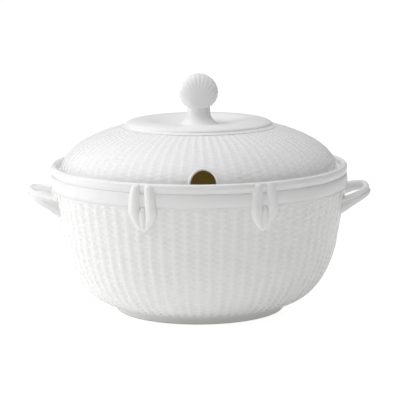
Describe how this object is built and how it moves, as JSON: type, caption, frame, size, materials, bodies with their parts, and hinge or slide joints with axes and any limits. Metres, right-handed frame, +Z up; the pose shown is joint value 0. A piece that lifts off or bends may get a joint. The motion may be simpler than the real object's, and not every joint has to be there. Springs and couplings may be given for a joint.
{
  "type": "soup tureen",
  "caption": "Round white china soup tureen with a basket-weave wall, two loop handles, and a domed lift-off lid with a ladle notch and a shell knob.",
  "frame": {"origin": "centre of the foot ring's flat bottom, where the tureen stands", "axes": "+Z up along the turning axis; +X through the right handle; the ladle notch faces -Y"},
  "size_m": [0.2916, 0.2518, 0.2006],
  "materials": {
    "woven_china": "clear gloss glaze over a moulded basket-weave relief",
    "smooth_china": "clear gloss glaze over smooth white china",
    "foot_china": "clear gloss glaze, wiped off the ring that stands on the table"
  },
  "bodies": {
    "tureen": {"bowl": "woven_china", "foot_ring": "foot_china", "handle_right": "smooth_china", "handle_left": "smooth_china", "rim_loop_front_left": "smooth_china", "rim_loop_front_right": "smooth_china", "rim_loop_back_right": "smooth_china", "rim_loop_back_left": "smooth_china"},
    "lid": {"lid_dome": "woven_china", "lid_flange": "smooth_china", "lid_cap": "smooth_china", "finial_collar": "smooth_china", "shell_finial": "smooth_china"}
  },
  "joints": [
    {"name": "lid_lift", "type": "slide", "parent": "tureen", "child": "lid", "axis": [0, 0, 1], "range_m": [0, 0.12]}
  ]
}
